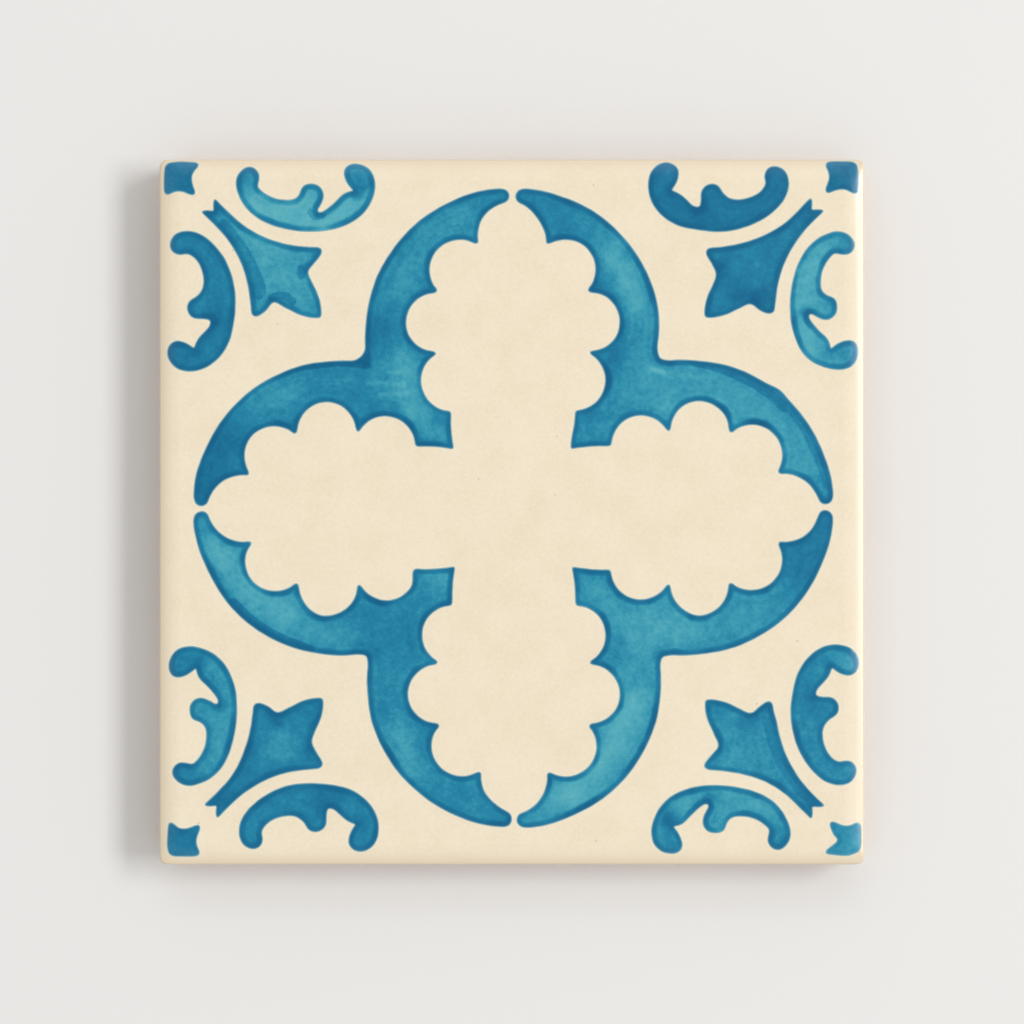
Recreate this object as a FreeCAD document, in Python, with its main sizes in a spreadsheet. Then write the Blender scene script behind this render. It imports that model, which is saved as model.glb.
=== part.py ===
"""Glazed wall tile: one fired slab with a cushioned face edge, drafted sides and a keyed back.

Millimetres. The tile lies on its back: the origin is the middle of the back, +Z comes out of the
glazed face, and X and Y run along its sides.
"""
import FreeCAD
import Part
import Sketcher
import math
import os

# Driving dimensions: each cell's alias, its value and what it measures.
SIZES = [
    ("face_side", 140.0, "side of the square face, before its arris is rounded"),
    ("thickness", 10.0, "back to the flat of the face"),
    ("corner_radius", 1.5, "plan radius of the four upright corners"),
    ("cushion_width", 4.2, "how far in from the edge the face begins to fall away"),
    ("cushion_drop", 0.9, "how far the face has fallen where it meets the side"),
    ("cushion_corner_radius", 4.0, "plan radius of the corners of the flat of the face"),
    ("arris_radius", 0.6, "rounding between the cushioned edge and the side"),
    ("side_draft", 2.0, "degrees by which the sides lean in towards the back"),
    ("back_chamfer", 0.7, "broken edge round the back"),
    ("key_width", 7.0, "width of a keying groove at the back face"),
    ("key_depth", 1.0, "depth of a keying groove"),
    ("key_draft", 20.0, "degrees by which a groove narrows as it deepens"),
    ("key_count", 6, "grooves across the back"),
    ("key_land", 11.0, "plain land between the grooves and the edge of the face"),
]

# Stations of the cushion's curve, as shares of its width: 0 at the arris, 1 at the flat of the face.
CUSHION_STATIONS = [0.0, 1 / 3, 2 / 3, 1.0]

# Two heights nearer to each other than this count as one.
TOUCH = 1e-4

UP = FreeCAD.Vector(0, 0, 1)
QUARTER_TURN = math.pi / 2

doc = FreeCAD.newDocument("azulejo_tile")
sheet = doc.addObject("Spreadsheet::Sheet", "sizes")


def fill_sheet():
    """One row for each driving dimension: its name, its value under an alias, its meaning."""
    for row, (alias, value, meaning) in enumerate(SIZES, start=1):
        sheet.set(f"A{row}", alias)
        sheet.set(f"B{row}", str(value))
        sheet.set(f"C{row}", meaning)
        sheet.setAlias(f"B{row}", alias)
    doc.recompute()


def sketch_at_height(body, name, height):
    """An empty sketch parallel to the back, lifted to the height that the expression gives."""
    sketch = body.newObject("Sketcher::SketchObject", name)
    back_plane = next(f for f in body.Origin.OriginFeatures if f.Role == "XY_Plane")
    sketch.AttachmentSupport = [(back_plane, "")]
    sketch.MapMode = "FlatFace"
    sketch.setExpression(".AttachmentOffset.Base.z", height)
    return sketch


def add_line(sketch, start, end):
    line = Part.LineSegment(FreeCAD.Vector(*start, 0), FreeCAD.Vector(*end, 0))
    return sketch.addGeometry(line, False)


def add_arc(sketch, centre, radius, first_quarter, last_quarter):
    """A counter-clockwise arc between two angles, counted in quarter turns from +X."""
    circle = Part.Circle(FreeCAD.Vector(*centre, 0), UP, radius)
    arc = Part.ArcOfCircle(circle, first_quarter * QUARTER_TURN, last_quarter * QUARTER_TURN)
    return sketch.addGeometry(arc, False)


def join_smoothly(sketch, lines, arcs):
    """Lines run clockwise and arcs the other way, so arc n ends on line n and starts on the next line."""
    for number, arc in enumerate(arcs):
        next_line = lines[(number + 1) % len(lines)]
        sketch.addConstraint(Sketcher.Constraint("Tangent", lines[number], 2, arc, 2))
        sketch.addConstraint(Sketcher.Constraint("Tangent", next_line, 1, arc, 1))


def add_sizes(sketch, sizes):
    """Named dimensions of a sketch, each bound to an expression over the sheet."""
    for label, constraint, expression in sizes:
        index = sketch.addConstraint(constraint)
        sketch.renameConstraint(index, label)
        sketch.setExpression(f"Constraints.{label}", expression)


def add_rounded_square(sketch, side, radius, rough_side):
    """A centred square with rounded corners; the rough side only starts the solver."""
    half = rough_side / 2
    rough_radius = sheet.corner_radius
    inner = half - rough_radius
    top = add_line(sketch, (-inner, half), (inner, half))
    right = add_line(sketch, (half, inner), (half, -inner))
    bottom = add_line(sketch, (inner, -half), (-inner, -half))
    left = add_line(sketch, (-half, -inner), (-half, inner))
    centres = [(inner, inner), (inner, -inner), (-inner, -inner), (-inner, inner)]
    arcs = [add_arc(sketch, centre, rough_radius, -number, 1 - number)
            for number, centre in enumerate(centres)]
    join_smoothly(sketch, [top, right, bottom, left], arcs)
    for line in (top, bottom):
        sketch.addConstraint(Sketcher.Constraint("Horizontal", line))
    for line in (right, left):
        sketch.addConstraint(Sketcher.Constraint("Vertical", line))
    for arc in arcs[1:]:
        sketch.addConstraint(Sketcher.Constraint("Equal", arcs[0], arc))
    sketch.addConstraint(Sketcher.Constraint("Symmetric", arcs[0], 3, arcs[2], 3, -1, 1))
    add_sizes(sketch, [
        ("half_width", Sketcher.Constraint("DistanceX", -1, 1, right, 1, half), f"({side}) / 2"),
        ("half_depth", Sketcher.Constraint("DistanceY", -1, 1, top, 1, half), f"({side}) / 2"),
        ("rounding", Sketcher.Constraint("Radius", arcs[0], rough_radius), radius),
    ])


def add_round_ended_slot(sketch, width, length):
    """A centred slot along Y with half-round ends."""
    radius = sheet.key_width / 2
    reach = sheet.face_side / 2 - sheet.key_land - radius
    right = add_line(sketch, (radius, reach), (radius, -reach))
    left = add_line(sketch, (-radius, -reach), (-radius, reach))
    near_end = add_arc(sketch, (0, -reach), radius, -2, 0)
    far_end = add_arc(sketch, (0, reach), radius, 0, 2)
    join_smoothly(sketch, [right, left], [near_end, far_end])
    sketch.addConstraint(Sketcher.Constraint("Vertical", right))
    sketch.addConstraint(Sketcher.Constraint("Symmetric", near_end, 3, far_end, 3, -1, 1))
    add_sizes(sketch, [
        ("end_radius", Sketcher.Constraint("Radius", far_end, radius), f"({width}) / 2"),
        ("reach", Sketcher.Constraint("DistanceY", -1, 1, far_end, 3, reach), f"({length} - {width}) / 2"),
    ])


def edges_at_height(shape, height):
    """Names of the edges that lie flat at this height."""
    return [f"Edge{number}" for number, edge in enumerate(shape.Edges, start=1)
            if all(abs(vertex.Z - height) < TOUCH for vertex in edge.Vertexes)]


def cushion_sections(body):
    """Rounded squares that climb the cushion's parabola from the arris to the flat of the face."""
    sections = []
    for number, share in enumerate(CUSHION_STATIONS):
        name = f"cushion_section_{number}"
        height = f"sizes.thickness - sizes.cushion_drop * {(1 - share) ** 2:.9f}"
        side = f"sizes.face_side - 2 * sizes.cushion_width * {share:.9f}"
        radius = (f"sizes.corner_radius + (sizes.cushion_corner_radius - sizes.corner_radius)"
                  f" * {share:.9f}")
        sketch = sketch_at_height(body, name, height)
        rough_side = sheet.face_side - 2 * sheet.cushion_width * share
        add_rounded_square(sketch, side, radius, rough_side)
        sections.append(sketch)
    doc.recompute()
    return sections


def slab_with_cushion(body):
    """The drafted slab below the arris, and the cushion lofted on top of it."""
    arris_section, *upper_sections = cushion_sections(body)
    slab = body.newObject("PartDesign::Pad", "drafted_slab")
    slab.Profile = arris_section
    slab.Reversed = True
    slab.setExpression("Length", "sizes.thickness - sizes.cushion_drop")
    slab.setExpression("TaperAngle", "-sizes.side_draft")
    doc.recompute()
    cushion = body.newObject("PartDesign::AdditiveLoft", "cushion")
    cushion.Profile = arris_section
    cushion.Sections = upper_sections
    doc.recompute()
    return cushion


def soften_edges(body, base):
    """The rounded arris of the face and the broken edge of the back."""
    arris = body.newObject("PartDesign::Fillet", "arris")
    arris.Base = (base, edges_at_height(base.Shape, sheet.thickness - sheet.cushion_drop))
    arris.setExpression("Radius", "sizes.arris_radius")
    doc.recompute()
    back_edge = body.newObject("PartDesign::Chamfer", "back_edge")
    back_edge.Base = (arris, edges_at_height(arris.Shape, 0.0))
    back_edge.setExpression("Size", "sizes.back_chamfer")
    doc.recompute()
    return back_edge


def key_the_back(body):
    """Shallow round-ended grooves that key the back into its bed, evenly spread between the lands."""
    sketch = sketch_at_height(body, "key_outline", "0")
    run = "sizes.face_side - 2 * sizes.key_land"
    add_round_ended_slot(sketch, "sizes.key_width", run)
    first_place = "-(sizes.face_side / 2 - sizes.key_land - sizes.key_width / 2)"
    sketch.setExpression(".AttachmentOffset.Base.x", first_place)
    doc.recompute()
    groove = body.newObject("PartDesign::Pocket", "key_groove")
    groove.Profile = sketch
    groove.Reversed = True
    groove.setExpression("Length", "sizes.key_depth")
    groove.setExpression("TaperAngle", "-sizes.key_draft")
    doc.recompute()
    row = body.newObject("PartDesign::LinearPattern", "key_row")
    row.Originals = [groove]
    row.Direction = (sketch, ["H_Axis"])
    row.setExpression("Length", f"{run} - sizes.key_width")
    row.setExpression("Occurrences", "sizes.key_count")
    body.Tip = row
    doc.recompute()
    return groove, row


def check(body, slab, groove, row):
    """Stops before anything is written if a feature failed or a groove missed the slab."""
    for item in doc.Objects:
        if {"Invalid", "Error"} & set(item.State):
            raise RuntimeError(f"{item.Name} failed: {item.State}")
    shape = body.Shape
    if shape.isNull() or not shape.isValid() or len(shape.Solids) != 1:
        raise RuntimeError(f"{body.Label} is not one sound solid")
    if not row.Shape.Volume < groove.Shape.Volume < slab.Shape.Volume:
        raise RuntimeError("a groove cut nothing")


def main():
    fill_sheet()
    body = doc.addObject("PartDesign::Body", "azulejo_tile")
    body.Label = "azulejo_tile"
    slab = soften_edges(body, slab_with_cushion(body))
    groove, row = key_the_back(body)
    check(body, slab, groove, row)
    os.makedirs("parts", exist_ok=True)
    body.Shape.exportStep(f"parts/{body.Label}.step")
    box = body.Shape.BoundBox
    print(f"{body.Label}: {box.XLength:.3f} x {box.YLength:.3f} x {box.ZLength:.3f} mm,"
          f" z from {box.ZMin:.3f}, {body.Shape.Volume / 1000:.2f} cm3, {len(body.Shape.Faces)} faces")


main()
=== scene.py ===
"""Azulejo tile: cream tin glaze on earthenware, with a blue brush-painted ornament, lying on its back.

The scene is in metres. The ornament is drawn in millimetres on the upper left quarter of the face, as
(across, down) from that corner, and turned about the middle of the ornament for the other three quarters.
"""
import math

import bmesh
import bpy
from mathutils import Matrix, Vector, geometry, noise
from mathutils.bvhtree import BVHTree
from mathutils.kdtree import KDTree


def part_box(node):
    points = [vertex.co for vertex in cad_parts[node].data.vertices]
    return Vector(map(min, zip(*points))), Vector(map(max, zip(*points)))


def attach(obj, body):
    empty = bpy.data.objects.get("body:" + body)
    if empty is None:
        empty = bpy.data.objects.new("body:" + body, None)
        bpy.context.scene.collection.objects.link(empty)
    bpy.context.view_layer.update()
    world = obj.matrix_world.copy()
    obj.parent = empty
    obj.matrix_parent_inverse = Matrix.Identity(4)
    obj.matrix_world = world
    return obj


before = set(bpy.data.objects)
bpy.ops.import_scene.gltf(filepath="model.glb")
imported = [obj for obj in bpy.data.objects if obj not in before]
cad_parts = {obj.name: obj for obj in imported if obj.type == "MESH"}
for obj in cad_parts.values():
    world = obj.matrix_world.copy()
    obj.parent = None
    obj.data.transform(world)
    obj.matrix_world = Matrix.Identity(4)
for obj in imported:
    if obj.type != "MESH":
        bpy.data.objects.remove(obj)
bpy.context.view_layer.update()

MM = 0.001
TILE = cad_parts["azulejo_tile"]
TILE_LOW, TILE_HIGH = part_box("azulejo_tile")
QUARTERS = ["upper_left", "upper_right", "lower_right", "lower_left"]

# The ornament was laid on by hand: half the side of its square, its middle and its turn against the tile.
HALF_SIDE = 70.0
ORNAMENT_MIDDLE = Vector((0.2, 0.75))
ORNAMENT_TWIST = math.radians(0.15)

# The brush: how finely an outline is followed, how full its curves are, how often its corners are rounded.
OUTLINE_STEP = 0.3
HANDLE_SHARE = 0.35
CORNER_PASSES = 6

# The wander of the hand, as reach and size, and the seed that keeps it the same on every run.
WOBBLES = [(9.0, 0.15), (1.7, 0.045)]
HAND_SEED = 1
noise.seed_set(HAND_SEED)

# The painted layer: how far it stands up inside and at its edge, how wide its shoulder is, how deep it sits
# in the glaze, and the angle from which an edge of it is sharp.
RELIEF = 0.05
EDGE_LIFT = 0.012
SHOULDER = 0.55
SEAT = 0.06
SHARP_EDGE = math.radians(40)

# The sheet inside an outline: the longest edge that each pass leaves, and how far a pass evens it out.
FILL_LENGTHS = [8.0, 4.0, 2.0, 1.1, 0.7]
EVENING = 0.5

# What a stroke's vertices tell its enamel, and how far outside any second coat a stroke without one lies.
STROKE_LAYERS = ("rim", "tone", "coat", "load", "gather")
UNCOATED = 5.0

# How deep the hollows of a bracket are, from the scallop beside its foot to the hollow behind its tip, and
# the places along a hollow where its points lie.
FOOT_SCALLOP = 4.22
MIDDLE_SCALLOP = 5.55
OUTER_SCALLOP = 4.55
TIP_HOLLOW = 1.57
ARC_SHARES = (0.0, 0.25, 0.5, 0.75, 1.0)


def arc(start, end, depth):
    """Points on the arc from start to end that is this deep at its middle, to the right of the way."""
    start, end = Vector(start), Vector(end)
    chord = end - start
    radius = (chord.length_squared / 4 + depth ** 2) / (2 * depth)
    to_left = Vector((-chord.y, chord.x)).normalized()
    centre = (start + end) / 2 + to_left * (radius - depth)
    sweep = 2 * math.atan2(chord.length / 2, radius - depth)
    return [centre + Matrix.Rotation(sweep * share, 2) @ (start - centre) for share in ARC_SHARES]


def with_mirror(half_runs):
    """A whole outline from the runs on one side of the corner's diagonal."""
    mirrored = [[(down, across) for across, down in reversed(run)] for run in reversed(half_runs)]
    return half_runs + mirrored


# Each outline is a list of runs; a run is a smooth curve through its points, and runs meet in corners.
BRACKET = with_mirror([
    [(58.45, 58.45), (57.9, 54.75), (57.8, 50.6)],
    arc((57.8, 50.6), (54.3, 39.85), FOOT_SCALLOP),
    [(54.3, 39.85), (54.98, 39.15), (54.4, 38.85)],
    arc((54.4, 38.85), (54.5, 27.35), MIDDLE_SCALLOP),
    [(54.5, 27.35), (55.25, 27.0), (54.7, 26.2)],
    arc((54.7, 26.2), (62.3, 17.45), OUTER_SCALLOP),
    [(62.3, 17.45), (63.3, 17.65), (63.27, 16.78)],
    arc((63.27, 16.78), (69.0, 9.4), TIP_HOLLOW),
    [(69.0, 9.4), (69.5, 8.1), (68.9, 6.95), (66.9, 6.65), (57.3, 9.45), (50.1, 14.2), (45.25, 19.95),
     (41.95, 27.1), (40.78, 34.3), (40.8, 38.6)],
    [(40.8, 38.6), (40.5, 40.5)],
])
FLEURON = with_mirror([
    [(10.85, 10.9), (10.6, 9.2), (10.85, 8.1)],
    [(10.85, 8.1), (13.5, 10.9), (16.3, 13.35), (20.0, 15.55), (24.25, 17.1), (28.6, 17.9), (31.05, 18.1)],
    [(31.05, 18.1), (31.75, 18.75), (31.1, 20.3), (29.5, 22.2)],
    [(29.5, 22.2), (29.2, 22.7), (30.1, 25.0), (31.6, 28.3), (32.0, 32.0)],
])
DEEP_SCROLL = [
    [(19.0, 5.9), (19.4, 4.6), (19.4, 3.2), (17.6, 1.9), (15.78, 2.89), (14.92, 4.7), (15.3, 7.2),
     (17.25, 10.45), (20.35, 12.7), (24.7, 14.2), (29.8, 14.8), (35.05, 14.15), (39.5, 11.8), (42.03, 8.13),
     (42.4, 4.55), (41.2, 2.3), (38.3, 1.3), (36.6, 2.1), (36.5, 3.9), (38.4, 6.8)],
    [(38.4, 6.8), (36.4, 7.25), (34.6, 9.0), (32.55, 10.7), (31.45, 11.25), (30.95, 10.95), (31.7, 9.5),
     (32.3, 7.4), (31.3, 5.8), (29.6, 5.45), (28.1, 5.9), (27.6, 7.3), (26.7, 8.4), (24.4, 8.7), (21.7, 8.0),
     (19.0, 5.9)],
]
PLAIN_SCROLL = [
    [(9.95, 32.3), (8.4, 32.1), (6.6, 32.0), (5.45, 30.7), (5.6, 28.9), (7.3, 27.7), (8.4, 26.1), (8.3, 22.9),
     (6.9, 20.2), (5.15, 19.15)],
    [(5.15, 19.15), (3.45, 19.5), (2.13, 18.55), (2.25, 16.3), (4.0, 15.0), (7.45, 15.25), (10.9, 17.9),
     (13.4, 22.0), (14.7, 27.0), (14.5, 33.0), (13.1, 37.7), (9.65, 41.4), (6.2, 42.5), (2.75, 41.6),
     (1.25, 38.8), (2.4, 36.7), (4.7, 36.8), (6.7, 38.2)],
    [(6.7, 38.2), (7.4, 36.3), (8.7, 34.8), (9.9, 33.4), (9.95, 32.3)],
]
CORNER_LEAF = [
    [(0.9, 7.1), (0.85, 4.0), (0.95, 2.0)],
    [(0.95, 2.0), (1.3, 1.3), (2.0, 0.95)],
    [(2.0, 0.95), (4.0, 0.85), (6.9, 1.05)],
    [(6.9, 1.05), (7.8, 1.2), (7.75, 1.9), (6.95, 2.75), (6.45, 3.9), (6.6, 5.2), (7.25, 6.8)],
    [(7.25, 6.8), (7.15, 7.6), (6.3, 7.6), (4.95, 7.0), (3.9, 6.8), (2.8, 7.0), (1.6, 7.6), (0.9, 7.1)],
]


def smooth_run(points):
    """Points along a smooth curve that passes through the given ones, without the last."""
    knots = [Vector(p) for p in points]
    if len(knots) == 2:
        return knots[:1]
    ways = [(b - a).normalized() for a, b in zip(knots, knots[1:])]
    tangents = [(a + b).normalized() for a, b in zip(ways, ways[1:])]
    first = tangents[0].reflect(Vector((-ways[0].y, ways[0].x)))
    last = tangents[-1].reflect(Vector((-ways[-1].y, ways[-1].x)))
    tangents = [first, *tangents, last]
    curve = []
    for number, (a, b) in enumerate(zip(knots, knots[1:])):
        handle = (b - a).length * HANDLE_SHARE
        steps = max(3, round((b - a).length / OUTLINE_STEP) + 1)
        curve += geometry.interpolate_bezier(
            a, a + tangents[number] * handle, b - tangents[number + 1] * handle, b, steps)[:-1]
    return curve


def spread_evenly(points):
    """A closed outline with its points one step apart."""
    closed = points + points[:1]
    lengths = [(b - a).length for a, b in zip(closed, closed[1:])]
    count = round(sum(lengths) / OUTLINE_STEP)
    gap = sum(lengths) / count
    spread, reached, side = [], 0.0, 0
    for number in range(count):
        while reached + lengths[side] < number * gap:
            reached += lengths[side]
            side += 1
        share = (number * gap - reached) / lengths[side]
        spread.append(closed[side].lerp(closed[side + 1], share))
    return spread


def swollen(outline, spread):
    """The outline moved outwards, as wet pigment spreads."""
    before, after = outline[-1:] + outline[:-1], outline[1:] + outline[:1]
    outwards = math.copysign(spread, sum(here.cross(there) for here, there in zip(outline, after)))
    ways = [(there - back).normalized() for back, there in zip(before, after)]
    return [here + Vector((way.y, -way.x)) * outwards for here, way in zip(outline, ways)]


def brush_outline(runs, spread):
    """A closed outline with its corners rounded as a soft brush leaves them."""
    outline = spread_evenly([point for run in runs for point in smooth_run(run)])
    for _ in range(CORNER_PASSES):
        outline = [(before + 2 * here + after) / 4 for before, here, after
                   in zip(outline[-1:] + outline[:-1], outline, outline[1:] + outline[:1])]
    return swollen(outline, spread)


def on_face(outline, quarter, slip, strays=()):
    """The outline in its quarter, in millimetres from the middle of the face, as the hand laid it."""
    turn = Matrix.Rotation(ORNAMENT_TWIST - quarter * math.pi / 2, 2)
    placed = []
    for across, down in outline:
        point = turn @ Vector((across - HALF_SIDE, HALF_SIDE - down)) + ORNAMENT_MIDDLE + Vector(slip)
        moves = [noise.noise_vector(point.to_3d() / reach).to_2d() * size for reach, size in WOBBLES]
        moves += [Vector(move) * math.exp(-((point - Vector(place)).length / reach) ** 2)
                  for reach, move, place in strays]
        placed.append(sum(moves, point))
    return placed


def filled(outline):
    """A flat, evenly triangulated sheet inside the outline, facing up."""
    sheet = bmesh.new()
    whole = sheet.faces.new([sheet.verts.new((x, y, 0.0)) for x, y in outline])
    whole.normal_update()
    bmesh.ops.triangulate(sheet, faces=[whole])
    for longest in FILL_LENGTHS:
        inner = [e for e in sheet.edges if not e.is_boundary and e.calc_length() > longest]
        bmesh.ops.subdivide_edges(sheet, edges=inner, cuts=1)
        bmesh.ops.triangulate(sheet, faces=sheet.faces[:])
        inner = [e for e in sheet.edges if not e.is_boundary]
        bmesh.ops.beautify_fill(sheet, faces=sheet.faces[:], edges=inner)
        loose = [v for v in sheet.verts if not v.is_boundary]
        bmesh.ops.smooth_vert(sheet, verts=loose, factor=EVENING, use_axis_x=True, use_axis_y=True)
    bmesh.ops.recalc_face_normals(sheet, faces=sheet.faces[:])
    if sum(f.normal.z for f in sheet.faces) < 0:
        bmesh.ops.reverse_faces(sheet, faces=sheet.faces[:])
    return sheet


def nearest_on(path, point):
    """Distance from a point to a line through the path's points; a single point is a path too."""
    distances = [(point - Vector(stop)).length for stop in path]
    for a, b in zip(path, path[1:]):
        foot, share = geometry.intersect_point_line(point, a, b)
        if 0 < share < 1:
            distances.append((point - foot.to_2d()).length)
    return min(distances)


def rim_distances(sheet, outline):
    """How far each vertex of the sheet lies inside the outline."""
    tree = KDTree(len(outline))
    for number, point in enumerate(outline):
        tree.insert(point.to_3d(), number)
    tree.balance()
    distances = []
    for vert in sheet.verts:
        near = tree.find(vert.co)[1]
        beside = [outline[near - 1], outline[near], outline[(near + 1) % len(outline)]]
        distances.append(0.0 if vert.is_boundary else nearest_on(beside, vert.co.to_2d()))
    return distances


def smoothstep(value):
    value = min(1.0, max(0.0, value))
    return value * value * (3 - 2 * value)


FACE = BVHTree.FromObject(TILE, bpy.context.evaluated_depsgraph_get())


def face_height(x, y):
    """Height of the glazed face, in millimetres, over a point in millimetres."""
    above = Vector((x * MM, y * MM, TILE_HIGH.z + MM))
    return FACE.ray_cast(above, Vector((0, 0, -1)))[0].z / MM


def wash(point, tone, marks):
    """Strength of the pigment at a point: the stroke's own tone, with paler and darker marks of the brush,
    and in one place a painted highlight.
    """
    return tone + sum(strength * math.exp(-(nearest_on(path, point) / reach) ** 2)
                      for strength, reach, *path in marks)


def second_coat(point, coats):
    """How far a point lies inside the edge of the nearest second coat, and how much pigment it adds."""
    return max(((half_width - nearest_on(path, point), load) for load, half_width, *path in coats),
               default=(-UNCOATED, 0.0))


def paint_stroke(name, outline, gather, tone, marks, coats, enamel):
    """One painted stroke: a thin closed layer with soft shoulders that follows the face."""
    sheet = filled(outline)
    rims = rim_distances(sheet, outline)
    layers = [sheet.verts.layers.float.new(layer) for layer in STROKE_LAYERS]
    for vert, rim in zip(sheet.verts, rims):
        place = vert.co.to_2d()
        coat, load = second_coat(place, coats)
        for layer, value in zip(layers, (rim, wash(place, tone, marks), coat, load, gather)):
            vert[layer] = value
        lift = EDGE_LIFT + (RELIEF - EDGE_LIFT) * smoothstep(rim / SHOULDER)
        vert.co.z = face_height(*place) + lift
    under = bmesh.ops.extrude_face_region(sheet, geom=sheet.faces[:], use_keep_orig=True)["geom"]
    seated = [item for item in under if isinstance(item, bmesh.types.BMVert)]
    bmesh.ops.translate(sheet, verts=seated, vec=(0, 0, -SEAT))
    bmesh.ops.recalc_face_normals(sheet, faces=sheet.faces[:])
    bmesh.ops.scale(sheet, vec=(MM, MM, MM), verts=sheet.verts)
    mesh = bpy.data.meshes.new(name)
    sheet.to_mesh(mesh)
    sheet.free()
    mesh.shade_smooth()
    mesh.set_sharp_from_angle(angle=SHARP_EDGE)
    mesh.materials.append(enamel)
    piece = bpy.data.objects.new(name, mesh)
    bpy.context.scene.collection.objects.link(piece)
    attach(piece, "root")


def shade_node(tree, kind, inputs=(), **settings):
    """A shader node; inputs are (socket, value or output) pairs, settings are its own properties."""
    made = tree.nodes.new(kind)
    for setting, value in settings.items():
        setattr(made, setting, value)
    for socket, value in inputs:
        if isinstance(value, bpy.types.NodeSocket):
            tree.links.new(value, made.inputs[socket])
        else:
            made.inputs[socket].default_value = value
    return made


def maths(tree, operation, *values):
    """One sum on values or outputs."""
    return shade_node(tree, "ShaderNodeMath", enumerate(values), operation=operation).outputs[0]


def grain(tree, vector, scale, detail=2.0, roughness=0.5):
    """Soft noise, about a half on average."""
    inputs = [("Vector", vector), ("Scale", scale), ("Detail", detail), ("Roughness", roughness)]
    return shade_node(tree, "ShaderNodeTexNoise", inputs).outputs[0]


def specks(tree, place, scale, radius, rarity):
    """Small round spots, one in each cell that the rarity lets through."""
    cells = shade_node(tree, "ShaderNodeTexVoronoi", [("Vector", place), ("Scale", scale)])
    spot = maths(tree, "LESS_THAN", cells.outputs["Distance"], radius)
    chance = shade_node(tree, "ShaderNodeSeparateColor", [(0, cells.outputs["Color"])]).outputs[0]
    return maths(tree, "MULTIPLY", spot, maths(tree, "GREATER_THAN", chance, rarity))


def between(tree, value, low, high, start=0.0, end=1.0, kind="LINEAR"):
    """From start to end while the value goes from low to high."""
    inputs = [(0, value), (1, low), (2, high), (3, start), (4, end)]
    return shade_node(tree, "ShaderNodeMapRange", inputs, interpolation_type=kind).outputs[0]


def blend(tree, share, first, second):
    """The first colour with a share of the second."""
    inputs = [(0, share), (6, first), (7, second)]
    return shade_node(tree, "ShaderNodeMix", inputs, data_type="RGBA").outputs[2]


def new_material(name):
    """A material, its node tree and its shader."""
    material = bpy.data.materials.new(name)
    material.use_nodes = True
    tree = material.node_tree
    return material, tree, tree.nodes["Principled BSDF"]


def finish_surface(tree, shader, colour, roughness, height, strength, depth):
    """Links the colour and the roughness to the shader, and bumps that are at most this many mm deep."""
    inputs = [("Strength", strength), ("Distance", depth * MM), ("Height", height)]
    bump = shade_node(tree, "ShaderNodeBump", inputs).outputs[0]
    for socket, value in (("Base Color", colour), ("Roughness", roughness), ("Normal", bump)):
        tree.links.new(value, shader.inputs[socket])


def in_millimetres(tree):
    """Object coordinates in millimetres."""
    place = shade_node(tree, "ShaderNodeTexCoord").outputs["Object"]
    inputs = [(0, place), ("Scale", 1 / MM)]
    return shade_node(tree, "ShaderNodeVectorMath", inputs, operation="SCALE").outputs[0]


GRAIN_TURN = (0.5, 0.9, 0.4)


def turned(tree, place):
    """Coordinates turned away from the face, so that no grain runs along it."""
    inputs = [("Vector", place), ("Rotation", GRAIN_TURN)]
    return shade_node(tree, "ShaderNodeMapping", inputs).outputs[0]


# Pigment from a thin wash to a pooled edge, linear colours.
PIGMENT = [
    (0.00, (0.120, 0.450, 0.520, 1.0)),
    (0.20, (0.070, 0.380, 0.475, 1.0)),
    (0.35, (0.034, 0.305, 0.428, 1.0)),
    (0.50, (0.013, 0.225, 0.370, 1.0)),
    (0.65, (0.007, 0.175, 0.318, 1.0)),
    (0.80, (0.003, 0.136, 0.272, 1.0)),
    (1.00, (0.001, 0.095, 0.218, 1.0)),
]

# The soft outer edge of a stroke, where the pigment runs out into the glaze.
FRINGE = (0.300, 0.480, 0.500, 1.0)
FRINGE_WIDTH = 0.35

# The dark shore along a stroke's rim: the pigment in it, how steeply it ends, and how it narrows where
# pigment pools, swells there and grows with the stroke's tone, each as slope and start.
POOLED = 0.92
SHORE_STEEPNESS = 6.0
SHORE_FALL = -0.5
SHORE_NARROWING = (-0.8, 1.36)
SHORE_POOLING = (1.5, -0.17)
SHORE_TONE = (0.3, 0.85)

# How soft and how ragged the edge of a second coat is.
COAT_EDGE = 0.2
COAT_RAGGED = 0.3

# How much each pattern shifts the pigment, and how far streaks are drawn out along the outline.
STREAK_SHIFT = 0.18
CLOUD_SHIFT = 0.16
BLOTCH_SHIFT = 0.30
MOTTLE_SHIFT = 0.52
STREAK_STRETCH = (0.07, 0.07, 0.07)

# The enamel's roughness over its mottle, as slope and start, and its bumps, as strength and depth.
ENAMEL_ROUGHNESS = (0.14, 0.26)
ENAMEL_BUMPS = (0.25, 0.03)


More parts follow.
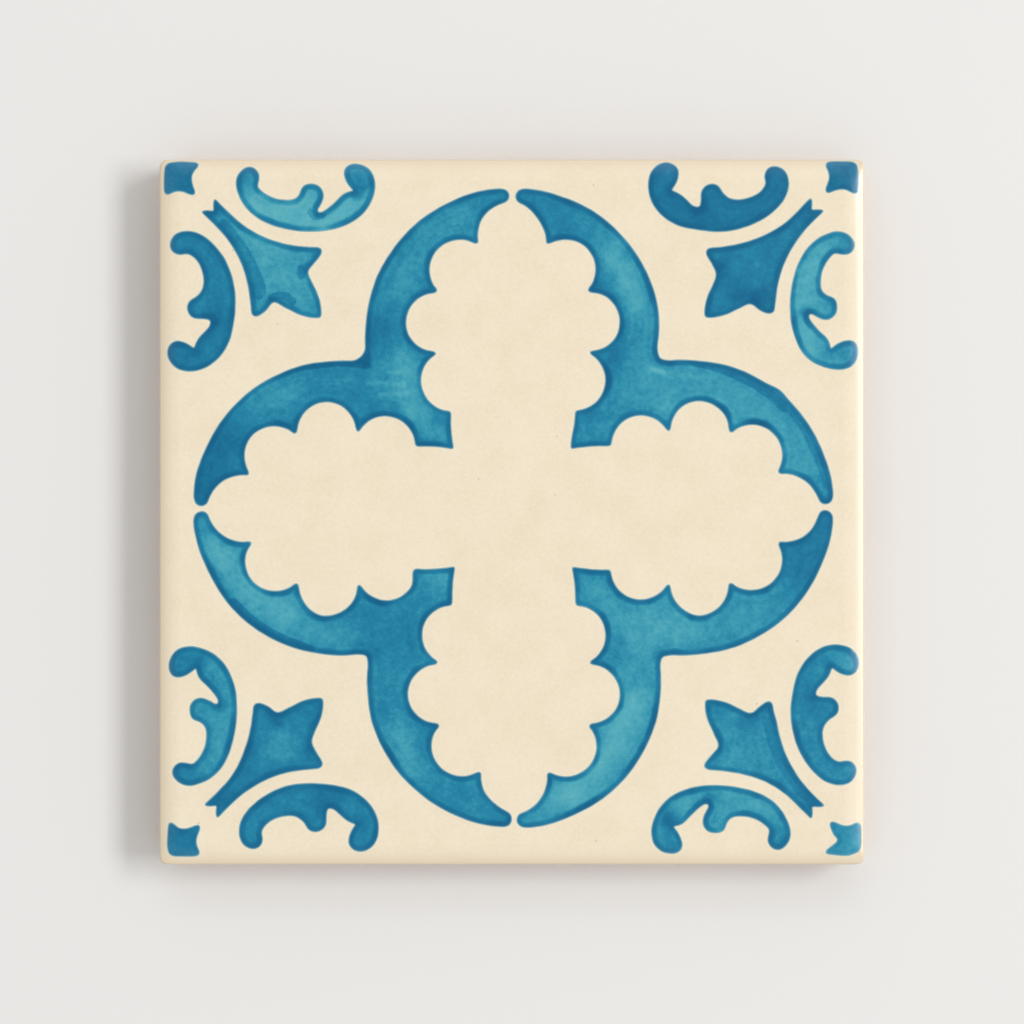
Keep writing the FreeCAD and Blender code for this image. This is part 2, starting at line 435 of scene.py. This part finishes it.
def blue_enamel():
    """Cobalt wash on the glaze: dark pooled rims, cloudy washes, faint streaks along the outline."""
    material, tree, shader = new_material("blue_enamel")
    place = turned(tree, in_millimetres(tree))
    carriers = [shade_node(tree, "ShaderNodeAttribute", attribute_name=layer) for layer in STROKE_LAYERS]
    rim, tone, coat, load, gather = [carrier.outputs["Fac"] for carrier in carriers]
    across_stroke = shade_node(tree, "ShaderNodeCombineXYZ", [("Z", rim)]).outputs[0]
    inputs = [(0, place), (1, STREAK_STRETCH), (2, across_stroke)]
    along = shade_node(tree, "ShaderNodeVectorMath", inputs, operation="MULTIPLY_ADD").outputs[0]
    streaks = grain(tree, along, scale=1.1, detail=3.0)
    clouds = grain(tree, place, scale=0.14)
    mottle = grain(tree, place, scale=1.1, detail=5.0, roughness=0.75)
    pooling = grain(tree, place, scale=0.16)
    blotches = grain(tree, place, scale=0.45)
    narrowing = maths(tree, "MULTIPLY_ADD", pooling, *SHORE_NARROWING)
    reach = maths(tree, "POWER", maths(tree, "MULTIPLY", rim, narrowing), SHORE_STEEPNESS)
    shore = maths(tree, "EXPONENT", maths(tree, "MULTIPLY", reach, SHORE_FALL))
    carried = maths(tree, "MULTIPLY", gather, maths(tree, "MULTIPLY_ADD", tone, *SHORE_TONE))
    shore = maths(tree, "MULTIPLY", shore, carried)
    pooled = maths(tree, "MULTIPLY", shore, maths(tree, "MULTIPLY_ADD", pooling, *SHORE_POOLING))
    inside = maths(tree, "SUBTRACT", coat, COAT_RAGGED / 2)
    ragged = maths(tree, "MULTIPLY_ADD", mottle, COAT_RAGGED, inside)
    overlap = between(tree, ragged, -COAT_EDGE, COAT_EDGE, end=load, kind="SMOOTHSTEP")
    pigment = maths(tree, "ADD", tone, overlap)
    patterns = (streaks, clouds, blotches, mottle)
    for pattern, shift in zip(patterns, (STREAK_SHIFT, CLOUD_SHIFT, BLOTCH_SHIFT, MOTTLE_SHIFT)):
        centred = maths(tree, "SUBTRACT", pattern, 0.5)
        pigment = maths(tree, "MULTIPLY_ADD", centred, shift, pigment)
    pigment = maths(tree, "MULTIPLY_ADD", pooled, maths(tree, "SUBTRACT", POOLED, pigment), pigment)
    ramp = shade_node(tree, "ShaderNodeValToRGB", [(0, pigment)])
    stops = ramp.color_ramp.elements
    for position, _ in PIGMENT[1:-1]:
        stops.new(position)
    for stop, (_, colour) in zip(stops, PIGMENT):
        stop.color = colour
    soak = between(tree, rim, 0.0, FRINGE_WIDTH, kind="SMOOTHSTEP")
    colour = blend(tree, soak, FRINGE, ramp.outputs[0])
    roughness = maths(tree, "MULTIPLY_ADD", mottle, *ENAMEL_ROUGHNESS)
    finish_surface(tree, shader, colour, roughness, mottle, *ENAMEL_BUMPS)
    return material


# The glaze and the biscuit under it, linear colours.
CREAM = (0.898, 0.794, 0.610, 1.0)
CREAM_COOL = (0.886, 0.788, 0.612, 1.0)
CREAM_WARM = (0.838, 0.722, 0.530, 1.0)
# The cream where the glaze thins over the arris, darkened further as painted shade of the rounded edge.
CREAM_THIN_AND_SHADED = (0.735, 0.612, 0.440, 1.0)
SPECK = (0.420, 0.310, 0.200, 1.0)
BISCUIT = (0.620, 0.415, 0.270, 1.0)
BISCUIT_DARK = (0.450, 0.280, 0.175, 1.0)
BISCUIT_FLASHED = (0.660, 0.480, 0.340, 1.0)
GROG = (0.270, 0.140, 0.085, 1.0)

# Heights over the back, in millimetres: where the glaze stops, how far that line wanders and how soft it is,
# where the glaze is thinnest over the arris and painted shade darkens the cream most, and where it is whole
# again.
GLAZE_LINE = 6.6
GLAZE_WANDER = 4.0
GLAZE_EDGE = 0.25
ARRIS_LINE = 9.15
FACE_LINE = 9.98

# How far patches and fine grain warm the cream, and how plainly pinholes and grog show.
PATCH_WARMTH = 1.2
FINE_WARMTH = (2.9, -1.7)
PINHOLE_SHARE = 0.35
GROG_SHARE = 0.55

# Roughness of the glaze over its clouds, as slope and start, and of the biscuit; the ripple of the glaze
# against the biscuit's pores, and the bumps of both, as strength and depth.
GLAZE_ROUGHNESS = (0.08, 0.17)
BISCUIT_ROUGHNESS = 0.88
GLAZE_RIPPLE = 0.2
TILE_BUMPS = (0.5, 0.25)


def tin_glaze():
    """Cream tin glaze that runs over the arris and part of the way down the sides of the bare biscuit."""
    material, tree, shader = new_material("tin_glaze")
    level = in_millimetres(tree)
    height = shade_node(tree, "ShaderNodeSeparateXYZ", [(0, level)]).outputs["Z"]
    place = turned(tree, level)
    clouds = grain(tree, place, scale=0.06, detail=3.0)
    fine = grain(tree, place, scale=1.4, detail=5.0, roughness=0.8)
    patches = grain(tree, place, scale=0.15)
    cream = blend(tree, clouds, CREAM_COOL, CREAM)
    warmth = maths(tree, "MULTIPLY_ADD", fine, *FINE_WARMTH)
    warmth = maths(tree, "MULTIPLY_ADD", patches, PATCH_WARMTH, warmth)
    cream = blend(tree, warmth, cream, CREAM_WARM)
    pinholes = specks(tree, place, scale=0.22, radius=0.05, rarity=0.86)
    cream = blend(tree, maths(tree, "MULTIPLY", pinholes, PINHOLE_SHARE), cream, SPECK)
    # Towards the arris the cream turns darker: thinner glaze, with painted shade of the rounded edge added.
    cream = blend(tree, between(tree, height, FACE_LINE, ARRIS_LINE), cream, CREAM_THIN_AND_SHADED)
    pores = grain(tree, place, scale=0.9, detail=6.0, roughness=0.75)
    biscuit = blend(tree, between(tree, pores, 0.3, 0.7), BISCUIT_DARK, BISCUIT)
    flashes = between(tree, grain(tree, place, scale=0.035, detail=3.0), 0.4, 0.65, end=0.7)
    biscuit = blend(tree, flashes, biscuit, BISCUIT_FLASHED)
    grog = specks(tree, place, scale=0.55, radius=0.13, rarity=0.65)
    biscuit = blend(tree, maths(tree, "MULTIPLY", grog, GROG_SHARE), biscuit, GROG)
    lowest = GLAZE_LINE - GLAZE_WANDER / 2
    run = maths(tree, "MULTIPLY_ADD", grain(tree, place, scale=0.09), GLAZE_WANDER, lowest)
    glazed = between(tree, height, run, maths(tree, "ADD", run, GLAZE_EDGE), kind="SMOOTHSTEP")
    colour = blend(tree, glazed, biscuit, cream)
    glossy = maths(tree, "MULTIPLY_ADD", clouds, *GLAZE_ROUGHNESS)
    roughness = between(tree, glazed, 0.0, 1.0, BISCUIT_ROUGHNESS, glossy)
    relief = maths(tree, "MULTIPLY", pores, maths(tree, "SUBTRACT", 1.0, glazed))
    relief = maths(tree, "MULTIPLY_ADD", clouds, GLAZE_RIPPLE, relief)
    finish_surface(tree, shader, colour, roughness, relief, *TILE_BUMPS)
    return material


# For each motif: its outline, how far its pigment spread, how much of it gathered along the rim, and the
# pools where it gathered inside, drawn with the outline. Then for each quarter its tone, the slip of the
# hand, and its own brush marks, among them one painted highlight. A pool or mark is its strength, its reach
# and the places that it runs through; those of a mark are from the middle of the face.
MOTIFS = [
    ("bracket", BRACKET, 0.06, 1.08, [(0.26, 1.4, (40.6, 40.6))], [
        (0.52, (0.05, 0.0), [
            (0.21, 4.5, (-62, 4), (-57.5, 14)), (-0.13, 3.5, (-50, 22), (-44, 23)),
            (-0.15, 3.0, (-22, 45), (-17, 54), (-11, 58)), (-0.20, 4.0, (-21, 29), (-20, 22)),
            (-0.14, 3.0, (-19, 18), (-13, 14)), (0.12, 3.0, (-27, 36)),
            (-0.18, 0.6, (-28.5, 25.5), (-21.5, 25.2)), (-0.14, 0.6, (-26, 23.2), (-20.5, 23.5)),
            (-0.12, 0.5, (-24.5, 27.6), (-20.5, 27.8))]),
        (0.45, (0.1, 0.0), [
            (0.12, 4.0, (2, 62), (10, 58)), (-0.24, 2.6, (20, 51), (24.5, 42)),
            (-0.08, 3.0, (25, 38), (26, 28)), (0.17, 2.4, (17, 45), (21.5, 38), (19, 27), (15, 19)),
            # The pale mark through (27.7, 28.3) is a painted highlight: a glint in the bracket's inner
            # corner.
            (-0.14, 6.0, (30, 24), (45, 22), (56, 11)), (-0.28, 0.5, (27.7, 28.3), (30, 27.7)),
            (-0.08, 0.8, (30, 27.5), (39, 26.6))]),
        (0.38, (0.0, 0.05), [
            (0.26, 6.0, (62, -3), (58, -11)), (-0.13, 5.0, (25, -23), (33, -22)), (0.08, 3.0, (21, -27)),
            (-0.24, 3.2, (24, -38), (20.5, -45), (12, -56)), (-0.06, 3.0, (9, -57))]),
        (0.49, (0.2, 0.15), [
            (-0.28, 4.5, (-59, -8), (-53, -14), (-45, -20)), (-0.12, 3.0, (-39, -24), (-34, -25.5)),
            (0.14, 1.0, (-61, -9), (-56, -17)), (-0.20, 3.0, (-14, -13)),
            (-0.20, 2.6, (-22, -44), (-20, -51)), (0.10, 5.0, (-24, -24))]),
    ]),
    ("fleuron", FLEURON, 0.1, 0.95, [
        (0.2, 1.2, (28.8, 21.9)), (0.2, 1.2, (21.9, 28.8)), (0.12, 2.0, (11.5, 11.5))], [
        (0.30, (0.2, -0.2), [
            (0.30, 2.5, (-60, 60)), (0.12, 2.5, (-39, 39.5)), (0.14, 2.0, (-39, 51.3)),
            (0.10, 1.8, (-50.5, 41))]),
        (0.61, (0.0, -0.4), [
            (0.12, 2.0, (40.7, 47)), (0.16, 2.2, (45, 43), (50, 42.5)), (-0.06, 4.0, (46, 48))]),
        (0.43, (-0.1, 0.0), [
            (0.14, 2.0, (46.8, -41.5)), (0.14, 2.5, (59, -58)), (0.10, 2.5, (39.5, -38.5)),
            (-0.05, 4.0, (45, -47))]),
        (0.59, (0.4, 0.45), [
            (-0.22, 4.5, (-45.5, -46)), (0.24, 1.6, (-46.2, -41.5)), (0.10, 2.5, (-52, -46))]),
    ]),
    ("deep_scroll", DEEP_SCROLL, 0.14, 0.9, [(0.22, 1.5, (39.2, 7.4)), (0.2, 1.3, (30.9, 11.8))], [
        (0.10, (0.4, -0.25), [
            (0.36, 3.4, (-53.5, 66)), (0.16, 3.0, (-30.5, 66)), (0.14, 1.4, (-31, 63), (-28.5, 65)),
            (0.14, 2.2, (-40, 63.5))]),
        (0.18, (-0.2, -0.5), [
            (0.28, 3.2, (66.5, 53)), (0.26, 3.0, (66, 31.5)), (0.22, 2.2, (63, 41)),
            (0.28, 1.2, (58.5, 39.5))]),
        (0.33, (-0.25, 0.2), [
            (0.20, 3.5, (32, -66)), (0.25, 1.8, (31, -60.5)), (0.16, 3.5, (52.5, -65)),
            (0.22, 1.3, (38.5, -57))]),
        (0.37, (0.45, 0.3), [
            (0.20, 3.5, (-66.5, -30)), (0.17, 3.2, (-65, -51.5)), (0.20, 1.3, (-58.5, -38.5))]),
    ]),
    ("plain_scroll", PLAIN_SCROLL, 0.15, 0.9, [(0.16, 1.6, (10.6, 32.5)), (0.14, 1.4, (7.2, 38.6))], [
        (0.56, (0.3, -0.15), [(0.18, 2.8, (-59.5, 38)), (0.10, 3.5, (-66.5, 31))]),
        (0.67, (-0.45, -0.45), [(0.08, 3.0, (37, 59.5))]),
        (0.47, (-0.2, 0.25), [(0.12, 3.0, (60, -37.5)), (-0.08, 3.0, (67, -30))]),
        (0.57, (0.75, 0.75), [(0.08, 3.0, (-38, -58))]),
    ]),
    ("corner_leaf", CORNER_LEAF, 0.06, 0.2, [(0.1, 1.2, (6.1, 4.1))], [
        (0.69, (0.1, -0.2), []),
        (0.71, (-0.35, -0.5), []),
        (0.38, (-0.2, 0.1), []),
        (0.63, (0.35, 0.25), []),
    ]),
]

# Where the brush went over a stroke twice: how much pigment the second coat adds, half its width, and the
# places it runs through.
COATS = {
    "bracket_upper_left": [
        (0.24, 0.8, (-48, 27.6), (-41, 29.0), (-34, 29.7), (-28.6, 29.1)),
        (0.14, 0.6, (-28.6, 30), (-28.9, 41))],
    "bracket_upper_right": [
        (0.24, 0.95, (36, 29.8), (40.5, 28.8), (44.5, 27.2), (48.3, 25.2), (51.5, 23.0), (54, 20.8)),
        (0.16, 0.7, (54.7, 21), (57.9, 16.3), (60.5, 11), (62.5, 5))],
    "bracket_lower_left": [
        (0.28, 0.9, (-55.2, -18), (-51.5, -21.6), (-47.9, -23.9), (-44, -25.8), (-40, -27.2))],
    "fleuron_upper_left": [
        (0.22, 1.5, (-57, 56.5), (-55, 53.4), (-53.1, 50.9), (-51.5, 47.7), (-50.4, 45.1), (-50.2, 43.6)),
        (0.26, 0.75, (-47.6, 42.5), (-46.3, 42.9), (-44.7, 42.8), (-43.5, 41.7)),
        (0.22, 0.8, (-41.7, 48.2), (-41.7, 46.9))],
    "fleuron_lower_right": [(0.12, 1.2, (50.4, -39), (51.6, -45), (53.7, -50.1), (56, -53.3), (58.2, -56))],
    "deep_scroll_upper_left": [
        (0.18, 2.3, (-30.3, 67.2), (-29.5, 66.2)), (0.22, 0.65, (-39.9, 59.4), (-39, 58.4), (-37.5, 58.7))],
}

# Where the hand left a stroke's pattern: how far round the place it did, the move, and the place on the face.
STRAYS = {
    "bracket_upper_left": [(1.5, (-0.4, 0.5), (-29.4, 30.3)), (4.0, (-0.3, 0.25), (-5.1, 58.3))],
    "bracket_upper_right": [
        (4.0, (-0.35, -0.28), (5.6, 58.2)), (4.0, (-0.5, 0.0), (29.8, 32.5)),
        (3.0, (-0.4, 0.05), (12.3, 14.5)), (2.0, (0.25, 0.35), (53.0, 24.2))],
    "bracket_lower_right": [(4.0, (0.25, -0.3), (57.7, -4.5)), (3.0, (0.0, -0.3), (37.1, -20.0))],
    "bracket_lower_left": [
        (3.0, (0.25, 0.25), (-29.2, -28.7)), (3.0, (0.0, -0.25), (-38.0, -20.0)),
        (1.5, (-0.6, 0.4), (-19.4, -12.3)), (3.0, (0.15, 0.25), (-3.2, -58.5)),
        (1.0, (0.35, 0.15), (-52.1, -6.3)), (3.0, (-0.2, 0.0), (-62.5, -1.5))],
    "fleuron_upper_left": [(2.0, (0.4, 0.15), (-38.1, 51.9)), (1.5, (-0.2, 0.45), (-47.2, 41.5))],
    "fleuron_upper_right": [(2.0, (0.0, 0.5), (51.5, 38.6)), (1.5, (-0.45, -0.2), (40.8, 47.7))],
    "fleuron_lower_right": [(2.0, (-0.4, -0.1), (51.9, -38.5)), (1.5, (-0.45, -0.05), (38.4, -50.3))],
    "fleuron_lower_left": [(2.0, (0.0, -0.5), (-50.6, -37.6)), (1.5, (0.45, 0.2), (-40.0, -46.4))],
    "deep_scroll_upper_right": [(4.0, (0.05, 0.35), (62.3, 28.0))],
    "plain_scroll_upper_right": [(4.0, (-0.12, 0.25), (30.0, 68.5))],
    "corner_leaf_upper_right": [(1.5, (-0.1, 0.5), (68.5, 62.0))],
    "corner_leaf_lower_right": [
        (0.9, (0.8, 0.1), (63.8, -65.2)), (1.0, (-0.35, 0.1), (62.6, -67.6)),
        (1.5, (-0.33, 0.3), (68.5, -68.6))],
}


def paint_ornament():
    enamel = blue_enamel()
    for motif, runs, spread, gather, pools, copies in MOTIFS:
        outline = brush_outline(runs, spread)
        for quarter, (tone, slip, marks) in enumerate(copies):
            name = f"{motif}_{QUARTERS[quarter]}"
            placed = on_face(outline, quarter, slip, STRAYS.get(name, ()))
            gathered = [(strength, reach, *on_face(path, quarter, slip)) for strength, reach, *path in pools]
            paint_stroke(name, placed, gather, tone, marks + gathered, COATS.get(name, ()), enamel)


# The floor, and the light round it: how bright the surround is, how bright overhead, and where one fades into
# the other, as heights on a sphere of radius 1.
FLOOR_SIDE = 40.0
FLOOR_COLOUR = (0.80, 0.79, 0.77, 1.0)
FLOOR_ROUGHNESS = 0.7
WHITE = (1.0, 1.0, 1.0, 1.0)
SURROUND = 0.80
OVERHEAD = 0.04
OVERHEAD_RISE = (0.84, 0.96)

# Each lamp: its width, its height, its watts, and its bearing and its height over the floor in degrees.
LAMP_DISTANCE = 4.0
LAMPS = {
    "key": (2.4, 1.0, 88.0, 11, 42),
    "fill": (2.0, 0.6, 8.0, 90, 40),
}

# The camera's lens and sensor in millimetres, and the share of the picture's width that the tile takes.
LENS = 85.0
SENSOR = 36.0
FRAME_SHARE = 0.69


def lay_floor():
    """A plain pale floor under the tile."""
    sheet = bmesh.new()
    bmesh.ops.create_grid(sheet, x_segments=1, y_segments=1, size=FLOOR_SIDE / 2)
    mesh = bpy.data.meshes.new("floor")
    sheet.to_mesh(mesh)
    sheet.free()
    material, _, shader = new_material("floor")
    shader.inputs["Base Color"].default_value = FLOOR_COLOUR
    shader.inputs["Roughness"].default_value = FLOOR_ROUGHNESS
    mesh.materials.append(material)
    floor = bpy.data.objects.new("floor", mesh)
    bpy.context.scene.collection.objects.link(floor)


def light_studio():
    """A white surround that is darker overhead, a soft key from the right and a weak fill from the top."""
    world = bpy.data.worlds.new("studio")
    world.use_nodes = True
    tree = world.node_tree
    direction = shade_node(tree, "ShaderNodeTexCoord").outputs["Generated"]
    upwards = shade_node(tree, "ShaderNodeSeparateXYZ", [(0, direction)]).outputs["Z"]
    brightness = between(tree, upwards, *OVERHEAD_RISE, SURROUND, OVERHEAD, kind="SMOOTHSTEP")
    background = tree.nodes["Background"]
    tree.links.new(brightness, background.inputs["Strength"])
    background.inputs["Color"].default_value = WHITE
    bpy.context.scene.world = world
    for name, (width, height, watts, bearing, rise) in LAMPS.items():
        light = bpy.data.lights.new(name, "AREA")
        light.shape = "RECTANGLE"
        light.size = width
        light.size_y = height
        light.energy = watts
        lamp = bpy.data.objects.new(name, light)
        towards = Vector((math.cos(math.radians(rise)), 0.0, math.sin(math.radians(rise))))
        towards.rotate(Matrix.Rotation(math.radians(bearing), 3, "Z"))
        lamp.location = towards * LAMP_DISTANCE
        lamp.rotation_euler = towards.to_track_quat("Z", "Y").to_euler()
        bpy.context.scene.collection.objects.link(lamp)


def place_camera():
    """Straight above the middle of the face, with the top of the ornament upwards."""
    camera = bpy.data.cameras.new("camera")
    camera.lens = LENS
    camera.sensor_width = SENSOR
    view = bpy.data.objects.new("camera", camera)
    width = (TILE_HIGH.x - TILE_LOW.x) / FRAME_SHARE
    view.location = (0.0, 0.0, TILE_HIGH.z + width * LENS / SENSOR)
    bpy.context.scene.collection.objects.link(view)
    bpy.context.scene.camera = view


TILE.data.materials.clear()
TILE.data.materials.append(tin_glaze())
paint_ornament()
lay_floor()
light_studio()
place_camera()
bpy.context.scene.view_settings.view_transform = "Standard"
